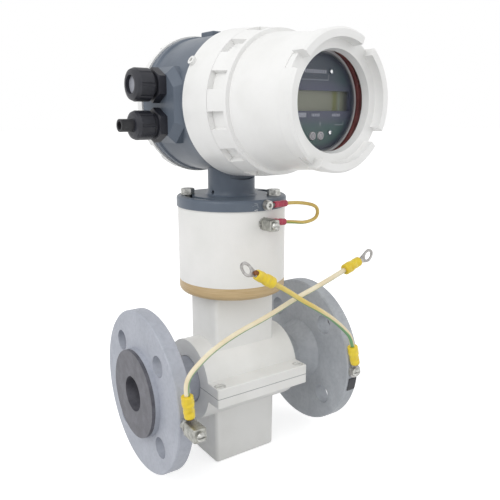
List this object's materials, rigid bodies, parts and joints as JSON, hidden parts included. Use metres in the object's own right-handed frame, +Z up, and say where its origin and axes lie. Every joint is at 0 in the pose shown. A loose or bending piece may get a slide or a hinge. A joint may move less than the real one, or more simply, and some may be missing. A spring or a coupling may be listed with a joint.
{
  "type": "electromagnetic flow meter",
  "caption": "Flanged electromagnetic flow meter with a swivelling converter head, display window, cable glands and earthing leads.",
  "frame": {"origin": "centre of the flow bore, halfway between the two sealing faces", "axes": "+X along the pipe from inlet to outlet, +Z up through the converter's neck, display towards -Y"},
  "size_m": [0.2009, 0.2016, 0.3772],
  "materials": {
    "inlet_flange_paint": "satin grey paint on steel",
    "outlet_flange_paint": "satin grey paint on steel",
    "tube_steel": "drawn stainless steel",
    "soft_iron": "bare soft iron",
    "copper_coil": "varnished copper winding",
    "liner": "smooth moulded lining",
    "housing_enamel": "white enamel on cast aluminium",
    "can_enamel": "white enamel on a turned can",
    "can_metal": "machined aluminium",
    "cover_enamel": "white enamel on cast aluminium",
    "grey_casting": "grey enamel on cast aluminium",
    "tan_resin": "pressed tan resin",
    "black_rubber": "moulded rubber",
    "red_gasket": "red-brown silicone",
    "bright_steel": "plated steel",
    "clamp_steel": "stamped plated steel",
    "tinned_lug": "tinned copper",
    "yellow_sleeve": "moulded vinyl",
    "red_sleeve": "moulded vinyl",
    "cream_lead": "cream insulation with a green stripe",
    "yellow_lead": "yellow insulation with a green stripe",
    "jumper_lead": "yellow insulation with a green stripe",
    "circuit_board": "coated board",
    "black_plastic": "moulded plastic",
    "grey_plastic": "moulded plastic",
    "frame_metal": "brushed ring",
    "panel_film": "printed film",
    "lcd_glass": "reflective display glass",
    "key_plastic": "moulded keys",
    "gland_plastic": "moulded nylon",
    "plug_plastic": "moulded plug",
    "window_glass": "clear glass"
  },
  "bodies": {
    "sensor": {"inlet_flange": "inlet_flange_paint", "outlet_flange": "outlet_flange_paint", "meter_tube": "tube_steel", "bore_liner": "liner", "inlet_liner_rim": "liner", "outlet_liner_rim": "liner", "electrodes": "tube_steel", "pole_cores": "soft_iron", "field_coils": "copper_coil", "magnet_yoke": "soft_iron", "upper_housing": "housing_enamel", "lower_housing": "housing_enamel", "housing_gasket": "black_rubber", "housing_screws": "bright_steel", "insulating_ring": "tan_resin", "terminal_can": "can_enamel", "can_top_plate": "can_metal", "swivel_seal": "black_rubber", "swivel_bolts": "bright_steel", "swivel_washers": "bright_steel", "junction_board": "circuit_board", "earth_screws": "bright_steel", "earth_washers": "bright_steel", "earth_clamps": "clamp_steel", "jumper_lug_lower": "tinned_lug", "jumper_sleeve_lower": "red_sleeve", "inlet_lug_fixed": "tinned_lug", "inlet_sleeve_fixed": "yellow_sleeve", "inlet_lead": "cream_lead", "inlet_sleeve_free": "yellow_sleeve", "inlet_lug_free": "tinned_lug", "outlet_lug_fixed": "tinned_lug", "outlet_sleeve_fixed": "yellow_sleeve", "outlet_lead": "yellow_lead", "outlet_sleeve_free": "yellow_sleeve", "outlet_lug_free": "tinned_lug"},
    "converter": {"converter_housing": "grey_casting", "jumper_screw": "bright_steel", "jumper_lug_upper": "tinned_lug", "jumper_sleeve_upper": "red_sleeve", "jumper_wire": "jumper_lead", "electronics_carrier": "black_plastic", "display_frame": "frame_metal", "display_panel": "panel_film", "display_lcd": "lcd_glass", "display_screws": "bright_steel", "terminal_block": "grey_plastic", "gland_bodies": "gland_plastic"},
    "front_seal": {"front_cover_seal": "black_rubber"},
    "front_cover": {"front_cover": "cover_enamel", "window_glass": "window_glass", "window_gasket": "red_gasket", "cover_lock_screw": "bright_steel"},
    "rear_seal": {"rear_cover_seal": "black_rubber"},
    "rear_cover": {"rear_cover": "cover_enamel"},
    "upper_grommet": {"gland_plug": "plug_plastic"},
    "upper_nut": {"gland_nut_upper": "gland_plastic"},
    "lower_grommet": {"cable_stub": "black_rubber"},
    "lower_nut": {"gland_nut_lower": "gland_plastic"},
    "left_key": {"display_key_left": "key_plastic"},
    "right_key": {"display_key_right": "key_plastic"}
  },
  "joints": [
    {"name": "head_swivel", "type": "hinge", "parent": "sensor", "child": "converter", "pos_m": [0, 0, 0.158], "axis": [0, 0, 1], "range_deg": [-60, 0], "deforming": ["jumper_wire"]},
    {"name": "front_cover_travel", "type": "slide", "parent": "converter", "child": "front_seal", "axis": [0.0698, -0.9976, 0], "range_m": [0, 0.009]},
    {"name": "front_cover_turn", "type": "hinge", "parent": "front_seal", "child": "front_cover", "pos_m": [0.00419, -0.05985, 0.2382], "axis": [0.0698, -0.9976, 0], "range_deg": [0, 1080]},
    {"name": "rear_cover_travel", "type": "slide", "parent": "converter", "child": "rear_seal", "axis": [-0.0698, 0.9976, 0], "range_m": [0, 0.009]},
    {"name": "rear_cover_turn", "type": "hinge", "parent": "rear_seal", "child": "rear_cover", "pos_m": [-0.00349, 0.04988, 0.2382], "axis": [-0.0698, 0.9976, 0], "range_deg": [0, 1080]},
    {"name": "upper_nut_travel", "type": "slide", "parent": "converter", "child": "upper_grommet", "axis": [-0.9976, -0.0698, 0], "range_m": [0, 0.0015]},
    {"name": "upper_nut_turn", "type": "hinge", "parent": "upper_grommet", "child": "upper_nut", "pos_m": [-0.07593, 0.01073, 0.2525], "axis": [-0.9976, -0.0698, 0], "range_deg": [0, 360.01]},
    {"name": "lower_nut_travel", "type": "slide", "parent": "converter", "child": "lower_grommet", "axis": [-0.9976, -0.0698, 0], "range_m": [0, 0.0015]},
    {"name": "lower_nut_turn", "type": "hinge", "parent": "lower_grommet", "child": "lower_nut", "pos_m": [-0.07593, 0.01073, 0.2213], "axis": [-0.9976, -0.0698, 0], "range_deg": [0, 360.01]},
    {"name": "left_key_press", "type": "slide", "parent": "converter", "child": "left_key", "axis": [-0.0698, 0.9976, 0], "range_m": [0, 0.0008], "stiffness_N_per_m": 400, "springref_m": -0.0008},
    {"name": "right_key_press", "type": "slide", "parent": "converter", "child": "right_key", "axis": [-0.0698, 0.9976, 0], "range_m": [0, 0.0008], "stiffness_N_per_m": 400, "springref_m": -0.0008}
  ],
  "couplings": [
    {"joint": "front_cover_travel", "follows": "front_cover_turn", "m_per_rad": 0.00047746},
    {"joint": "rear_cover_travel", "follows": "rear_cover_turn", "m_per_rad": 0.00047746},
    {"joint": "upper_nut_turn", "follows": "upper_nut_travel", "rad_per_m": 4188.8},
    {"joint": "lower_nut_turn", "follows": "lower_nut_travel", "rad_per_m": 4188.8}
  ]
}
